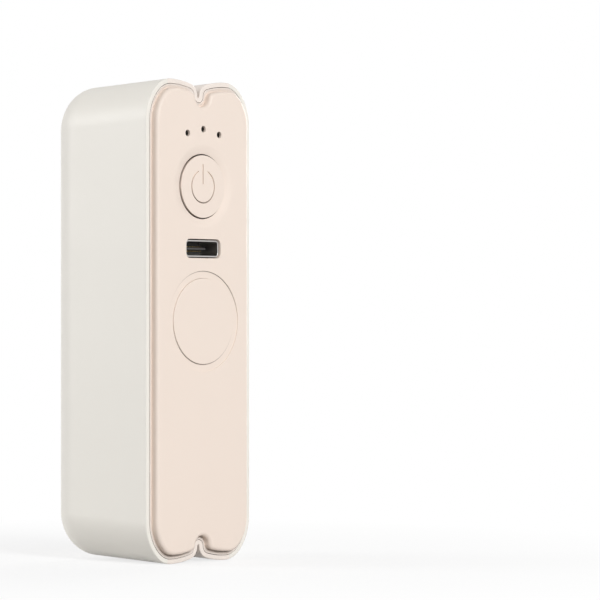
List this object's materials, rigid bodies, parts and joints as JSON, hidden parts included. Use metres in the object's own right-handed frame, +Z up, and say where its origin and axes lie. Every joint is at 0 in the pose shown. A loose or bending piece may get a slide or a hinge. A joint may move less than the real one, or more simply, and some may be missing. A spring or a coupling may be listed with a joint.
{
  "type": "rechargeable hand warmer",
  "caption": "Pocket hand warmer with two-lobed shell, magnetic face panel, push button with charge lights above it and a charging port below; one half of a pair.",
  "frame": {"origin": "on the ground under the middle of the body, which stands on its lower lobes", "axes": "+X across the face to the right, +Y from the face to the back, +Z up along the body"},
  "size_m": [0.028, 0.0282, 0.09],
  "materials": {
    "white_shell": "fine satin moulding",
    "blush_shell": "fine satin moulding",
    "magnet_nickel": "bright nickel plating",
    "yoke_steel": "zinc plated",
    "smoked_guide": "smoked translucent acrylic",
    "light_package": "clear resin over phosphor",
    "port_steel": "drawn stainless steel",
    "black_moulding": "matte glass-filled moulding",
    "contact_gold": "gold plated strip",
    "board_laminate": "green solder resist",
    "screw_steel": "zinc plated",
    "plunger_white": "smooth moulding",
    "chip_epoxy": "moulded epoxy",
    "coil_ferrite": "sintered ferrite",
    "capacitor_ceramic": "fired ceramic with tinned ends",
    "tray_plastic": "heat-proof grey moulding",
    "cell_foil": "laminated foil pouch",
    "pad_foam": "adhesive foam",
    "plate_aluminium": "bent sheet",
    "film_amber": "polyimide film over an etched track",
    "lead_jacket": "silicone jacket",
    "sensor_resin": "dipped resin bead"
  },
  "bodies": {
    "case": {"left_cover": "white_shell", "right_cover": "white_shell", "centre_band": "blush_shell", "front_panel": "blush_shell", "magnet_cover": "blush_shell", "magnet": "magnet_nickel", "magnet_yoke": "yoke_steel", "light_guide": "smoked_guide", "light_chips": "light_package", "port_shell": "port_steel", "port_insulator": "black_moulding", "switch_body": "black_moulding", "port_contacts": "contact_gold", "main_board": "board_laminate", "cell_guard": "board_laminate", "board_screws": "screw_steel", "tray_screws": "screw_steel", "charger_chip": "chip_epoxy", "controller_chip": "chip_epoxy", "heater_drivers": "chip_epoxy", "power_coil": "coil_ferrite", "capacitors": "capacitor_ceramic", "battery_tray": "tray_plastic", "pouch_cell": "cell_foil", "cell_pad": "pad_foam", "left_heat_plate": "plate_aluminium", "right_heat_plate": "plate_aluminium", "left_heater_film": "film_amber", "right_heater_film": "film_amber", "battery_leads": "lead_jacket", "left_heater_leads": "lead_jacket", "right_heater_leads": "lead_jacket", "heat_sensor": "sensor_resin"},
    "button": {"power_button": "blush_shell", "switch_plunger": "plunger_white"}
  },
  "joints": [
    {"name": "power_button_press", "type": "slide", "parent": "case", "child": "button", "axis": [0, 1, 0], "range_m": [0, 0.0005], "stiffness_N_per_m": 4000}
  ]
}
